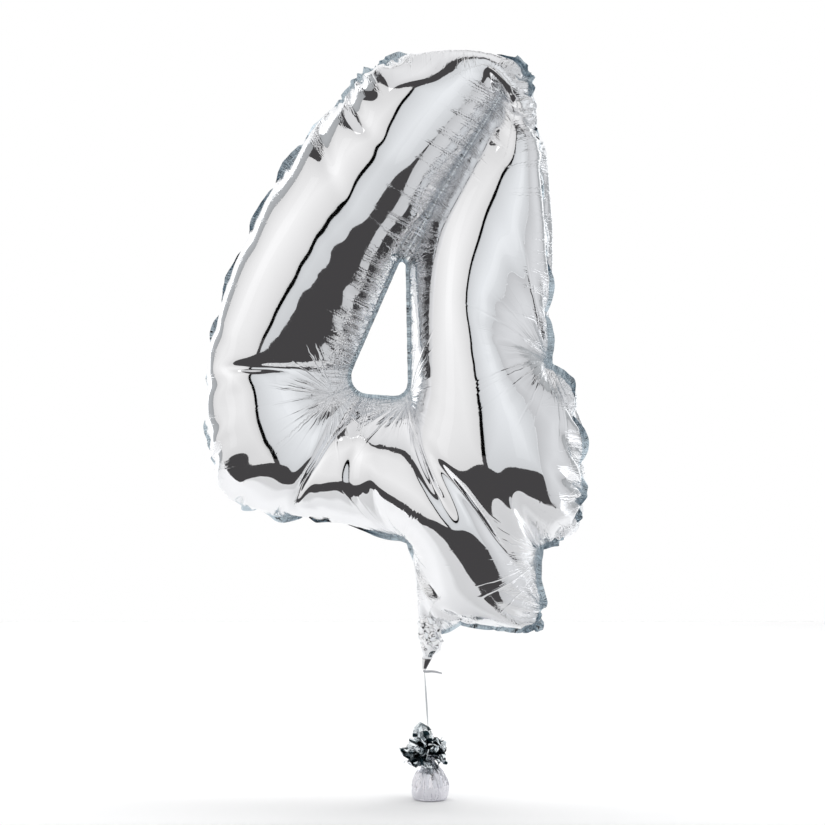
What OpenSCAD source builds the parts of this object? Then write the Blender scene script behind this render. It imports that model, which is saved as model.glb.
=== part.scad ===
// Foil number balloon: an inflated figure four on a ribbon, held down by a foil-wrapped weight.
// Z is up, the origin is under the middle of the weight, and the figure faces -Y.

/* [Figure] */
// Overall width of the inflated figure between its seams
figure_w = 580; // [520:10:640]
// Half depth of the fullest stroke
figure_depth = 90; // [80:1:120]
// Width of the welded seam that stands out round the edge
seam_w = 9; // [5:1:12]
// Thickness of the film
film_t = 0.05; // [0.05:0.01:0.2]

/* [Filling neck] */
// Height of the lower end of the flat tail above the floor
neck_tail_z = 185; // [178:1:195]
// Height of the top of the puckered neck
neck_top_z = 243; // [238:1:246]
// Largest diameter of the puckered neck
neck_d = 25; // [16:1:30]

/* [Ribbon] */
// Width of the curling ribbon
ribbon_w = 4.8; // [3:0.2:6]
// Thickness of the ribbon
ribbon_t = 0.5; // [0.4:0.1:1]
// Length of its free end at the neck
ribbon_tail_l = 26; // [15:1:40]

/* [Weight] */
// Largest diameter of the wrapped weight
weight_d = 52; // [46:1:56]
// Height of the tie above the floor
tie_z = 55; // [52:1:60]
// Diameter of the gathered wrap under the tie
gather_d = 13; // [11:1:16]
// Thickness of the wrap
wrap_t = 0.25; // [0.2:0.05:0.4]

/* [Frill] */
// Petals in each layer
petals = 9; // [6:1:12]
// Length of the longest petal
petal_l = 46; // [30:1:50]
// How much longer the petals are on the left than on the right
petal_lean = 14; // [0:1:18]

/* [Hidden] */
silver = [0.84, 0.85, 0.87];
dark_silver = [0.50, 0.54, 0.57];
grey = [0.72, 0.73, 0.75];
$fn = 48;

// Each row crosses one stroke: outer seam x, z, inner seam x, z, the fullness of the stroke there,
// and how much thinner it is towards its outer end.
crossings = [
    [-19, 262, -66, 574, 0.86, 0.45],
    [-8, 253, -56, 574, 0.88, 0.25],
    [60, 259, -46, 575, 0.95, 0],
    [156, 254, -38, 578, 0.98, 0.2],
    [166, 266, -34, 582, 1.00, 0.4],
    [164, 320, -31, 588, 1.03, 0.35],
    [158, 366, -30, 594, 1.05, 0.3],
    [190, 373, -30, 601, 1.06, 0.2],
    [218, 400, -30, 610, 1.06, 0.1],
    [230, 470, -30, 620, 1.06, 0],
    [226, 545, -30, 632, 1.05, 0],
    [206, 592, -30, 644, 1.02, 0.1],
    [176, 618, -30, 658, 0.98, 0.15],
    [176, 690, -31, 700, 0.97, 0],
    [174, 780, -32, 760, 0.95, 0],
    [169, 870, 20, 846, 0.72, 0],
    [162, 950, 70, 930, 0.45, 0],
    [155, 1015, 106, 992, 0.26, 0],
    [146, 1046, 113, 1006, 0.24, 0],
    [125, 1060, 101, 1000, 0.30, 0],
    [45, 1073, 60, 938, 0.64, 0],
    [-30, 1069, 30, 886, 0.84, 0],
    [-95, 1052, 2, 846, 0.95, 0],
    [-165, 985, -22, 806, 1.00, 0],
    [-248, 880, -50, 764, 1.00, 0],
    [-300, 775, -84, 706, 1.00, 0],
    [-334, 680, -118, 652, 1.00, 0],
    [-349, 595, -138, 616, 1.00, 0],
    [-349, 525, -140, 600, 1.00, 0],
    [-330, 458, -132, 588, 0.99, 0],
    [-290, 412, -118, 580, 0.96, 0],
    [-215, 398, -104, 576, 0.92, 0],
    [-120, 387, -90, 574, 0.90, 0],
    [-36, 370, -78, 573, 0.90, 0.1],
    [-24, 330, -72, 573, 0.88, 0.35]
];
design_w = 580;
design_mid = -60;
steps_between = 3;
ring_steps = 10;
column_n = len(crossings) * steps_between;
inner_seam_w = 5;

neck_x = 4;
neck_tip_x = -8;
neck_wall = 0.4;
neck_waist_z = neck_tail_z + 22;
tail_t = 0.6;
valve_w = 26;
valve_l = 95;
valve_z = 262;

// The ribbon runs straight from the tie to the knot under the tail, and bends where it leaves the frill.
// bend_gap keeps the corners of its two stretches apart as it leans.
knot_r = 2.4;
knot_gap = 0.3;
bend_gap = 1.4;
knot_at = [neck_tip_x, 0, neck_tail_z - knot_gap - knot_r];
ribbon_foot_at = [0, 0, 58];
ribbon_top_at = knot_at - [0, 0, knot_r + knot_gap];
frill_top_z = 112;
function on_ribbon(z) = ribbon_foot_at + (ribbon_top_at - ribbon_foot_at)
    * (z - ribbon_foot_at[2]) / (ribbon_top_at[2] - ribbon_foot_at[2]);

cup_h = 38;
cup_wall = 1.2;
cup_gap = 0.4;
cup_base_z = wrap_t + 0.15;
cup_r = weight_d / 2 - wrap_t - 1.4;
petal_t = 0.3;
petal_wave = 8;
collar_r = 5.4;

// Cubic through p1 and p2, with p0 and p3 as their neighbours.
function cubic(p0, p1, p2, p3, u) = 0.5 * (2 * p1 + (p2 - p0) * u
    + (2 * p0 - 5 * p1 + 4 * p2 - p3) * u * u
    + (3 * p1 - p0 - 3 * p2 + p3) * u * u * u);

function crossing(i) = crossings[(i + len(crossings)) % len(crossings)];

// One smooth crossing for each column of the figure.
columns = [for (c = [0 : column_n - 1])
    let (i = floor(c / steps_between), u = c / steps_between - i)
    cubic(crossing(i - 1), crossing(i), crossing(i + 1), crossing(i + 2), u)];

function column(c) = columns[(c + column_n) % column_n];
function wide(x) = design_mid + (x - design_mid) * figure_w / design_w;
function outer_seam(c) = [wide(column(c)[0]), column(c)[1]];
function inner_seam(c) = [wide(column(c)[2]), column(c)[3]];
function unit(v) = v / norm(v);
function side_of(v) = unit([v[1], -v[0]]);

// Edges of the welded seam, outside the figure and inside its counter.
function outer_edge(c) = outer_seam(c) + seam_w * side_of(outer_seam(c + 1) - outer_seam(c - 1));
function inner_edge(c) = inner_seam(c) - inner_seam_w * side_of(inner_seam(c + 1) - inner_seam(c - 1));

// A point of the dome: k runs from the outer seam to the counter, and inset moves it inwards.
function dome(c, k, inset) = let (
    a = outer_seam(c),
    b = inner_seam(c),
    turn = 180 * k / ring_steps,
    e = inset / norm(b - a),
    s = e + (1 - 2 * e) * (1 - cos(turn)) / 2,
    thinned = 1 - column(c)[5] * (1 + cos(turn)) / 2,
    p = a + (b - a) * s)
    [p[0], inset - film_t - figure_depth * column(c)[4] * thinned * sin(turn), p[1]];

function flat(p, y) = [p[0], y, p[1]];

function skin(c, inset) = concat(
    [flat(outer_edge(c), inset - film_t)],
    [for (k = [0 : ring_steps]) dome(c, k, inset)],
    [flat(inner_edge(c), inset - film_t)]);

row_n = ring_steps + 3;
panel_points = [for (c = [0 : column_n - 1]) each concat(skin(c, 0), skin(c, film_t))];

// Index of a point: column, row, and 0 for the outer skin or 1 for the inner.
function at(c, row, side) = ((c + column_n) % column_n) * 2 * row_n + side * row_n + row;

panel_faces = concat(
    [for (c = [0 : column_n - 1], row = [0 : row_n - 2]) each [
        [at(c, row, 0), at(c + 1, row, 0), at(c + 1, row + 1, 0)],
        [at(c, row, 0), at(c + 1, row + 1, 0), at(c, row + 1, 0)],
        [at(c, row, 1), at(c + 1, row + 1, 1), at(c + 1, row, 1)],
        [at(c, row, 1), at(c, row + 1, 1), at(c + 1, row + 1, 1)]]],
    [for (c = [0 : column_n - 1]) each [
        [at(c, 0, 0), at(c, 0, 1), at(c + 1, 0, 1)],
        [at(c, 0, 0), at(c + 1, 0, 1), at(c + 1, 0, 0)],
        [at(c, row_n - 1, 0), at(c + 1, row_n - 1, 1), at(c, row_n - 1, 1)],
        [at(c, row_n - 1, 0), at(c + 1, row_n - 1, 0), at(c + 1, row_n - 1, 1)]]]);

// Film on one face of the figure: a full dome across every stroke, with a flat seam at each edge.
module panel() {
    polyhedron(panel_points, panel_faces, convexity = 8);
}

module front_panel() {
    color(silver) panel();
}

module back_panel() {
    color(silver) mirror([0, 1, 0]) panel();
}

// Outline of the puckered neck, from its draw-in down to its top, moved in by g.
function neck_outline(g) = [
    [3.5 - g, neck_waist_z], [neck_d * 0.34 - g, neck_waist_z + 8],
    [neck_d * 0.5 - g, neck_waist_z + 17], [neck_d * 0.46 - g, neck_top_z - 7],
    [neck_d * 0.36 - g, neck_top_z]];

// Puckered neck under the stub, drawn down to a flat tail.
module fill_neck() {
    inside = neck_outline(neck_wall);
    color(silver) {
        translate([neck_x, 0, 0])
            rotate_extrude()
                polygon(concat([[0, neck_waist_z]], neck_outline(0),
                    [for (i = [len(inside) - 1 : -1 : 1]) inside[i]],
                    [[3.5 - neck_wall, neck_waist_z + 1], [0, neck_waist_z + 1]]));
        translate([0, tail_t / 2, 0])
            rotate([90, 0, 0])
                linear_extrude(tail_t)
                    polygon([
                        [neck_tip_x - 3, neck_tail_z], [neck_tip_x + 3, neck_tail_z],
                        [neck_x + 6, neck_waist_z + 0.5], [neck_x - 8, neck_waist_z + 0.5]]);
    }
}

// One film of the flat valve tube that stands up inside the stub.
module valve_film() {
    translate([neck_x - valve_w / 2 + 4, -0.25, valve_z])
        cube([valve_w, 0.2, valve_l]);
}

module valve_film_front() {
    color(grey) valve_film();
}

module valve_film_back() {
    color(grey) mirror([0, 1, 0]) valve_film();
}

// Flat eight-sided section swept along a route.
ribbon_section = [for (i = [0 : 7]) let (a = 22.5 + 45 * i)
    [ribbon_w / 2 * cos(a) / cos(22.5), ribbon_t / 2 * sin(a) / sin(67.5)]];

module ribbon(route) {
    rings = len(route);
    points = [for (p = route, s = ribbon_section) p + [s[0], s[1], 0]];
    walls = [for (r = [0 : rings - 2], i = [0 : 7])
        let (j = (i + 1) % 8) each [
            [r * 8 + i, r * 8 + 8 + i, r * 8 + 8 + j],
            [r * 8 + i, r * 8 + 8 + j, r * 8 + j]]];
    polyhedron(points, concat(walls, [[for (i = [0 : 7]) i]],
        [[for (i = [7 : -1 : 0]) (rings - 1) * 8 + i]]));
}

function route_between(a, b, n) = [for (i = [0 : n]) a + (b - a) * i / n];

module ribbon_line() {
    color(grey) ribbon(route_between(on_ribbon(frill_top_z + bend_gap / 2), ribbon_top_at, 6));
}

module ribbon_foot() {
    color(grey) ribbon(route_between(ribbon_foot_at, on_ribbon(frill_top_z - bend_gap / 2), 5));
}

// Knot that closes the ribbon's loop through the tail.
module ribbon_neck_knot() {
    color(grey)
        translate(knot_at)
            difference() {
                sphere(r = knot_r);
                translate([0, 0, -knot_r - 2.8])
                    cube([ribbon_w + 1, ribbon_t + 1, 6], center = true);
            }
}

// Free end of the ribbon, standing out to the right of the knot.
module ribbon_tail() {
    color(grey)
        translate(knot_at + [knot_r, -0.3, -0.9])
            rotate([0, 6, 0])
                cube([ribbon_tail_l - knot_r, 0.6, 3], center = false);
}

module ribbon_foot_knot() {
    color(grey)
        translate([0, 0, tie_z + 0.9])
            cylinder(h = 2, r = 3.2);
}

// Outline of the wrap from the floor to the tie, grown by g.
function wrap_outline(g) = [
    [weight_d * 0.44 + g, -g], [weight_d * 0.475 + g, 2.5 - g], [weight_d * 0.492 + g, 8],
    [weight_d * 0.5 + g, 18], [weight_d * 0.48 + g, 28], [weight_d * 0.42 + g, 37],
    [weight_d * 0.31 + g, 44], [weight_d * 0.19 + g, 50], [gather_d / 2 + g, tie_z],
    [gather_d / 2 + g, tie_z + 3]];

// Foil gathered round the cup, with a collar that flares above the tie.
module foil_wrap() {
    outline = wrap_outline(-wrap_t);
    color(silver)
        rotate_extrude()
            polygon(concat(
                [[0, 0]], wrap_outline(0),
                [[gather_d / 2 + 3.5, tie_z + 6], [gather_d / 2 + 3.3, tie_z + 6.4]],
                [for (i = [len(outline) - 1 : -1 : 0]) outline[i]], [[0, wrap_t]]));
}

// Cup inside the wrap, rounded at its foot and drawn in at its top.
module weight_cup() {
    color([0.9, 0.9, 0.88])
        translate([0, 0, cup_base_z])
            rotate_extrude()
                polygon([
                    [0, 0], [cup_r - 3.5, 0], [cup_r - 1.4, 3], [cup_r - 0.8, 9], [cup_r - 0.8, 18],
                    [cup_r - 2, 27], [cup_r - 4.6, 34], [cup_r - 6.4, cup_h],
                    [cup_r - 6.4 - cup_wall, cup_h], [cup_r - 4.6 - cup_wall, 33],
                    [cup_r - 2 - cup_wall, 26], [cup_r - 0.8 - cup_wall, 18],
                    [cup_r - 0.8 - cup_wall, 9], [cup_r - 1.5 - cup_wall, 4],
                    [cup_r - 4, cup_wall], [0, cup_wall]]);
}

module weight_fill() {
    r = cup_r - cup_wall - 0.2;
    color([0.7, 0.68, 0.64])
        translate([0, 0, cup_base_z + cup_wall + 0.1])
            rotate_extrude()
                polygon([
                    [0, 0], [r - 3.2, 0], [r - 1.6, 2.8], [r - 0.9, 8], [r - 0.9, 16.5],
                    [r - 2.1, 24.5], [r - 4.9, 31.5], [r - 6.1, 33.5], [0, 33.5]]);
}

module cup_lid() {
    color([0.85, 0.85, 0.83])
        translate([0, 0, cup_base_z + cup_h + 0.1])
            cylinder(h = 1.2, r = cup_r - 7);
}

module neck_tie() {
    color([0.6, 0.62, 0.64])
        translate([0, 0, tie_z + 1.5])
            rotate_extrude()
                translate([gather_d / 2 + 0.85, 0])
                    circle(r = 0.8);
}

// One cut petal that leaves the collar at the given rise, in the plane of X and Z.
module petal(l, w, rise) {
    translate([collar_r - 0.5, 0, 0])
        rotate([0, -rise, 0])
            translate([0, 0, -petal_t / 2])
                linear_extrude(petal_t)
                    polygon([[0, -2], [l * 0.35, -w / 2], [l * 0.8, -w / 2.4], [l, -1.5],
                        [l, 1.5], [l * 0.8, w / 2.4], [l * 0.35, w / 2], [0, 2]]);
}

// Ring of petals round the ribbon, longer towards the left.
module frill(z, l, w, rise, turn) {
    translate([0, 0, z]) {
        difference() {
            cylinder(h = 1.4, r = collar_r, center = true);
            cylinder(h = 3, r = collar_r - 1.5, center = true);
        }
        for (i = [0 : petals - 1])
            let (a = turn + 360 * i / petals)
                rotate([0, 0, a])
                    petal(l - petal_lean * (1 + cos(a)) / 2, w, rise + petal_wave * sin(5 * a));
    }
}

module frill_lower() {
    color(dark_silver) frill(tie_z + 10, petal_l, 17, -10, 0);
}

module frill_middle() {
    color(dark_silver) frill(tie_z + 12, petal_l, 16, 24, 17);
}

module frill_upper() {
    color(dark_silver) frill(tie_z + 14, petal_l - 2, 14, 56, 31);
}

front_panel();
back_panel();
fill_neck();
valve_film_front();
valve_film_back();
ribbon_neck_knot();
ribbon_tail();
ribbon_line();
ribbon_foot();
ribbon_foot_knot();
weight_cup();
weight_fill();
cup_lid();
foil_wrap();
neck_tie();
frill_lower();
frill_middle();
frill_upper();
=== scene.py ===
"""Foil number balloon: camera, studio, ribbon, inflated figure and wrapped weight round the CAD frame."""
import math

import bpy
import numpy as np
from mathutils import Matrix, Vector, noise
from mathutils.geometry import delaunay_2d_cdt
from mathutils.kdtree import KDTree


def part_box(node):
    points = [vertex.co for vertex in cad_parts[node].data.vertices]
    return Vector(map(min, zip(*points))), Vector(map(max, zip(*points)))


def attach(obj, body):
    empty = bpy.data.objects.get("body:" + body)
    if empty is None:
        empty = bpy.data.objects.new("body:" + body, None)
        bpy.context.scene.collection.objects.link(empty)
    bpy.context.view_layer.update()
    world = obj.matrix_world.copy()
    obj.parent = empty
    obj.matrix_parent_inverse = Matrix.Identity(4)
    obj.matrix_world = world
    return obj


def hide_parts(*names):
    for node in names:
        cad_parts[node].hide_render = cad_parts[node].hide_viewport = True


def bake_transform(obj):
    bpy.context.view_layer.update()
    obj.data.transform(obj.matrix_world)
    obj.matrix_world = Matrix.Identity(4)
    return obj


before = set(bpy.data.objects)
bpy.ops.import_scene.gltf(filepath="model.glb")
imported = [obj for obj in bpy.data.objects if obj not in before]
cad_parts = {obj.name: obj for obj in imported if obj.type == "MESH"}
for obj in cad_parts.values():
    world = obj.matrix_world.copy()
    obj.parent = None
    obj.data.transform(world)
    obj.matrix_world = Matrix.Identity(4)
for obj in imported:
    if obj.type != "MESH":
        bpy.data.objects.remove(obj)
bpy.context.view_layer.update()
MM = 0.001
# Seed of noise_vector, which would otherwise follow the clock.
NOISE_SEED = 5
noise.seed_set(NOISE_SEED)

# ---------------------------------------------------------------- camera
VIEW_AZIMUTH = math.radians(18)
VIEW_DISTANCE = 3.0
VIEW_WIDTH = 1.18
VIEW_CENTRE = (-0.025, 0.553)  # to the right of the weight and above the floor
SENSOR_WIDTH = 36


def add(name, data):
    """New object of the given data in the scene."""
    o = bpy.data.objects.new(name, data)
    bpy.context.scene.collection.objects.link(o)
    return o


right = Vector((math.cos(VIEW_AZIMUTH), math.sin(VIEW_AZIMUTH), 0))
front = Vector((math.sin(VIEW_AZIMUTH), -math.cos(VIEW_AZIMUTH), 0))
camera = add("camera", bpy.data.cameras.new("camera"))
camera.location = right * VIEW_CENTRE[0] + front * VIEW_DISTANCE + Vector((0, 0, VIEW_CENTRE[1]))
camera.rotation_euler = (math.pi / 2, 0, VIEW_AZIMUTH)
camera.data.sensor_width = SENSOR_WIDTH
camera.data.lens = SENSOR_WIDTH * VIEW_DISTANCE / VIEW_WIDTH
bpy.context.scene.camera = camera
bpy.context.scene.view_settings.view_transform = "Standard"


# ---------------------------------------------------------------- node helpers
def material(name, **sockets):
    """Principled material, its shader and its node tree; sockets are named with _ for a space."""
    m = bpy.data.materials.new(name)
    m.use_nodes = True
    shader = m.node_tree.nodes["Principled BSDF"]
    for key, value in sockets.items():
        shader.inputs[key.replace("_", " ")].default_value = value
    return m, shader, m.node_tree


def link(tree, source, target):
    """Joins an output socket to an input socket."""
    tree.links.new(source, target)


def noise_node(tree, scale, detail=3.0, rough=0.5, distortion=0.0):
    """Noise in the object's own metres."""
    coord = tree.nodes.new("ShaderNodeTexCoord")
    n = tree.nodes.new("ShaderNodeTexNoise")
    n.inputs["Scale"].default_value = scale
    n.inputs["Detail"].default_value = detail
    n.inputs["Roughness"].default_value = rough
    n.inputs["Distortion"].default_value = distortion
    link(tree, coord.outputs["Object"], n.inputs["Vector"])
    return n


def map_range(tree, source, low, high, from_low=0.3, from_high=0.7):
    """The source carried from one range to another; most noise lies between 0.3 and 0.7."""
    n = tree.nodes.new("ShaderNodeMapRange")
    n.inputs["From Min"].default_value = from_low
    n.inputs["From Max"].default_value = from_high
    n.inputs["To Min"].default_value = low
    n.inputs["To Max"].default_value = high
    link(tree, source, n.inputs["Value"])
    return n.outputs["Result"]


def bump(tree, shader, height, distance, under=None):
    """Bump of the given height in metres, over another bump where there is one."""
    n = tree.nodes.new("ShaderNodeBump")
    n.inputs["Strength"].default_value = 1.0
    n.inputs["Distance"].default_value = distance
    link(tree, height, n.inputs["Height"])
    if under is not None:
        link(tree, under.outputs["Normal"], n.inputs["Normal"])
    link(tree, n.outputs["Normal"], shader.inputs["Normal"])
    return n


def attribute(tree, name):
    """Value of one of the mesh's own attributes."""
    n = tree.nodes.new("ShaderNodeAttribute")
    n.attribute_name = name
    return n.outputs["Fac"]


def arithmetic(tree, operation, a, b):
    """Result of a math node on two values, each a socket or a number."""
    n = tree.nodes.new("ShaderNodeMath")
    n.operation = operation
    for socket, value in zip(n.inputs, (a, b)):
        if isinstance(value, float):
            socket.default_value = value
        else:
            link(tree, value, socket)
    return n.outputs["Value"]


def puckers(tree, name, teeth_scale, length_scale, shortest, longest):
    """Height of the finest puckers, which run out from a weld or a corner and die away with distance.

    The attributes are the place along the weld, or the turn about the corner, and the distance away.
    """
    teeth, length = (tree.nodes.new("ShaderNodeTexNoise") for _ in range(2))
    teeth.inputs["Detail"].default_value = 1.0
    for n, scale in ((teeth, teeth_scale), (length, length_scale)):
        n.noise_dimensions = "1D"
        n.inputs["Scale"].default_value = scale
        link(tree, attribute(tree, name + "_along"), n.inputs["W"])
    reach = map_range(tree, length.outputs["Fac"], shortest, longest)
    spent = arithmetic(tree, "DIVIDE", attribute(tree, name + "_away"), reach)
    near = arithmetic(tree, "MAXIMUM", arithmetic(tree, "SUBTRACT", 1.0, spent), 0.0)
    wave = arithmetic(tree, "SUBTRACT", teeth.outputs["Fac"], 0.5)
    ridge = arithmetic(tree, "ABSOLUTE", wave, 0.0)
    return arithmetic(tree, "MULTIPLY", ridge, arithmetic(tree, "MULTIPLY", near, near))


def tint_by(tree, shader, name, plain, tinted):
    """Base colour that goes from one colour to another with an attribute."""
    tint = tree.nodes.new("ShaderNodeMix")
    tint.data_type = "RGBA"
    tint.inputs["A"].default_value = (*plain, 1)
    tint.inputs["B"].default_value = (*tinted, 1)
    link(tree, attribute(tree, name), tint.inputs["Factor"])
    link(tree, tint.outputs["Result"], shader.inputs["Base Color"])


# Colour of the welded edge as a share of the film's own: the weld's own duller, bluish tone, and at a
# fading share painted shade on the film beside every weld.
WELD_AND_SHADE_TINT = (0.56, 0.65, 0.70)
# Depth of the bump for the finest puckers.
PUCKER_DEPTH = 3.2 * MM


def foil_material(name, color, rough, crinkle, fine):
    """Mirror-bright metallised film with shallow crinkles; an attribute tints the welded edge and lays
    painted shade on the film beside each weld.
    """
    m, shader, tree = material(name, Base_Color=(*color, 1), Metallic=1.0, Roughness=rough)
    broad = noise_node(tree, 55, 4, 0.6, 0.6)
    tight = noise_node(tree, 420, 3, 0.6)
    link(tree, map_range(tree, broad.outputs["Fac"], rough * 0.6, rough * 1.7), shader.inputs["Roughness"])
    first = bump(tree, shader, broad.outputs["Fac"], crinkle)
    second = bump(tree, shader, tight.outputs["Fac"], fine, first)
    comb = puckers(tree, "seam", teeth_scale=260, length_scale=45, shortest=0.035, longest=0.110)
    fan = puckers(tree, "fan", teeth_scale=12, length_scale=6, shortest=0.8, longest=3.3)
    fan = arithmetic(tree, "MULTIPLY", fan, attribute(tree, "fan_away"))
    bump(tree, shader, arithmetic(tree, "ADD", comb, fan), PUCKER_DEPTH, second)
    tint_by(tree, shader, "weld_and_shade", color, [c * share for c, share in zip(color, WELD_AND_SHADE_TINT)])
    return m


def frill_material():
    """Cut foil, pale silver where a face attribute is 1 and darkened to teal-black as painted shade where
    it is 0.
    """
    m, shader, tree = material("frill_foil", Metallic=1.0, Roughness=0.09)
    crumple = noise_node(tree, 260, 4, 0.6)
    bump(tree, shader, crumple.outputs["Fac"], 0.0004)
    tint_by(tree, shader, "unshaded", (0.016, 0.034, 0.042), (0.84, 0.88, 0.90))
    return m


def satin_material(name, color, rough, streak_scale, metallic=0.0, depth=0.0001):
    """Plain moulded or drawn material with slight streaks."""
    m, shader, tree = material(name, Base_Color=(*color, 1), Metallic=metallic, Roughness=rough)
    n = noise_node(tree, streak_scale, 4, 0.6)
    worn = map_range(tree, n.outputs["Fac"], rough * 0.75, min(1.0, rough * 1.3))
    link(tree, worn, shader.inputs["Roughness"])
    bump(tree, shader, n.outputs["Fac"], depth)
    return m


silver = foil_material("silver_film", (0.815, 0.82, 0.835), 0.03, 0.00003, 0.000002)
pale_foil = foil_material("wrap_foil", (0.76, 0.755, 0.80), 0.05, 0.0010, 0.00005)
painted_shade_frill_foil = frill_material()
ribbon_look = satin_material("ribbon_satin", (0.50, 0.51, 0.54), 0.32, 900, 0.35)
wire_look = satin_material("tie_wire", (0.55, 0.56, 0.58), 0.35, 1500, 1.0)
cup_look = satin_material("cup_plastic", (0.85, 0.85, 0.82), 0.5, 400)
fill_look = satin_material("cast_fill", (0.62, 0.60, 0.56), 0.9, 260, 0.0, 0.001)
valve_look = satin_material("valve_film", (0.80, 0.82, 0.84), 0.2, 300)


def mesh_object(name, points, faces, look, smooth=True):
    """Object of the given points and faces in one material."""
    me = bpy.data.meshes.new(name)
    corners = [tuple(float(c) for c in p) for p in points]
    me.from_pydata(corners, [], [tuple(int(i) for i in f) for f in faces])
    me.update()
    if smooth:
        me.shade_smooth()
    else:
        me.shade_flat()
    me.materials.append(look)
    return add(name, me)


def stand_in(piece, body, slot, *nodes):
    """Makes a piece ride on a body and stand for CAD nodes, which are hidden."""
    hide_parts(*nodes)
    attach(piece, body)


CAD_LOOKS = {"neck_tie": wire_look, "weight_cup": cup_look, "cup_lid": cup_look, "weight_fill": fill_look,
             "valve_film_front": valve_look, "valve_film_back": valve_look}
for node, look in CAD_LOOKS.items():
    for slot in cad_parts[node].material_slots:
        slot.material = look

# ---------------------------------------------------------------- ribbon
RIBBON_W = 4.8 * MM
RIBBON_T = 0.18 * MM
RIBBON_STEPS = 60
END_W = 3.4 * MM
END_STEPS = 24
# Section of the ribbon in half widths and half thicknesses, bulged a little on both faces.
RIBBON_SECTION = (
    (-1, -1), (-0.4, -1.25), (0.4, -1.25), (1, -1), (1, 1), (0.4, 1.25), (-0.4, 1.25), (-1, 1))


def middle_of(node):
    """Middle of a CAD node's box."""
    low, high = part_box(node)
    return (Vector(low) + Vector(high)) / 2


def ring_faces(first, count, rings):
    """Faces between rings of points that are numbered from first, one ring after another."""
    faces = []
    for j in range(rings - 1):
        for i in range(count):
            a, b = first + j * count + i, first + j * count + (i + 1) % count
            faces.append((a, b, b + count, a + count))
    return faces


def strip(name, path, width, turn, look):
    """Flat ribbon along a path; turn(t) is the angle of its width about the path at t from 0 to 1."""
    points = []
    n, m = len(path), len(RIBBON_SECTION)
    for i, p in enumerate(path):
        ahead = (path[min(i + 1, n - 1)] - path[max(i - 1, 0)]).normalized()
        side = ahead.cross(Vector((0, 1, 0)))
        if side.length < 0.1:
            side = ahead.cross(Vector((0, 0, 1)))
        side.normalize()
        out = ahead.cross(side).normalized()
        angle = turn(i / (n - 1))
        across = side * math.cos(angle) + out * math.sin(angle)
        face = ahead.cross(across)
        points += [p + across * (u * width / 2) + face * (v * RIBBON_T / 2) for u, v in RIBBON_SECTION]
    faces = ring_faces(0, m, n)
    faces.append(tuple(range(m - 1, -1, -1)))
    faces.append(tuple(range((n - 1) * m, n * m)))
    return mesh_object(name, points, faces, look)


line_low, line_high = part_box("ribbon_line")
ribbon_top = Vector((middle_of("ribbon_neck_knot").x, 0, line_high[2]))
ribbon_base = Vector((0, 0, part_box("ribbon_foot")[0][2]))
ribbon_path = [ribbon_top.lerp(ribbon_base, i / RIBBON_STEPS) for i in range(RIBBON_STEPS + 1)]
ribbon = strip("ribbon", ribbon_path, RIBBON_W,
               lambda t: math.radians(62 - 20 * math.sin(5 * t)), ribbon_look)
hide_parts("ribbon_line", "ribbon_foot")


def trefoil(t, size):
    """Point at turn t round the closed curve of a small knot."""
    x = math.sin(t) + 2 * math.sin(2 * t)
    z = math.cos(t) - 2 * math.cos(2 * t)
    return Vector((x, 0.75 * math.sin(3 * t), z)) * (size / 3.4)


def knot(name, centre, size, look):
    """Small knot pulled tight, of the same flat ribbon."""
    n, m = 72, 8
    points, faces = [], []
    for i in range(n):
        t = 2 * math.pi * i / n
        ahead = (trefoil(t + 0.02, size) - trefoil(t - 0.02, size)).normalized()
        side = ahead.cross(Vector((0, 1, 0.2))).normalized()
        out = ahead.cross(side)
        for k in range(m):
            a = 2 * math.pi * k / m
            around = side * (math.cos(a) * size * 0.34) + out * (math.sin(a) * size * 0.17)
            points.append(centre + trefoil(t, size) + around)
    for i in range(n):
        for k in range(m):
            a, b = i * m + k, i * m + (k + 1) % m
            c, d = (i + 1) % n * m + (k + 1) % m, (i + 1) % n * m + k
            faces.append((a, b, c, d))
    return mesh_object(name, points, faces, look)


neck_knot = knot("neck_knot", middle_of("ribbon_neck_knot"), 2.1 * MM, ribbon_look)
stand_in(neck_knot, "knot", "ribbon", "ribbon_neck_knot")

tail_low, tail_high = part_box("ribbon_tail")
tail_start = Vector((tail_low[0] - 0.001, 0, tail_high[2] - 0.0024))
tail_end = Vector((tail_high[0], 0.0, tail_low[2] + 0.0018))
tail_path = []
for i in range(END_STEPS + 1):
    curl = Vector((0, 1.2 * MM * math.sin(i / 5), 1.2 * MM * math.sin(math.pi * i / END_STEPS)))
    tail_path.append(tail_start.lerp(tail_end, i / END_STEPS) + curl)
tail = strip("ribbon_end", tail_path, END_W, lambda t: 0.9 * t - 0.2, ribbon_look)
stand_in(tail, "knot", "ribbon", "ribbon_tail")

foot_knot = knot("foot_knot", middle_of("ribbon_foot_knot"), 2.0 * MM, ribbon_look)
stand_in(foot_knot, "weight", "ribbon", "ribbon_foot_knot")

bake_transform(ribbon)

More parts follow.
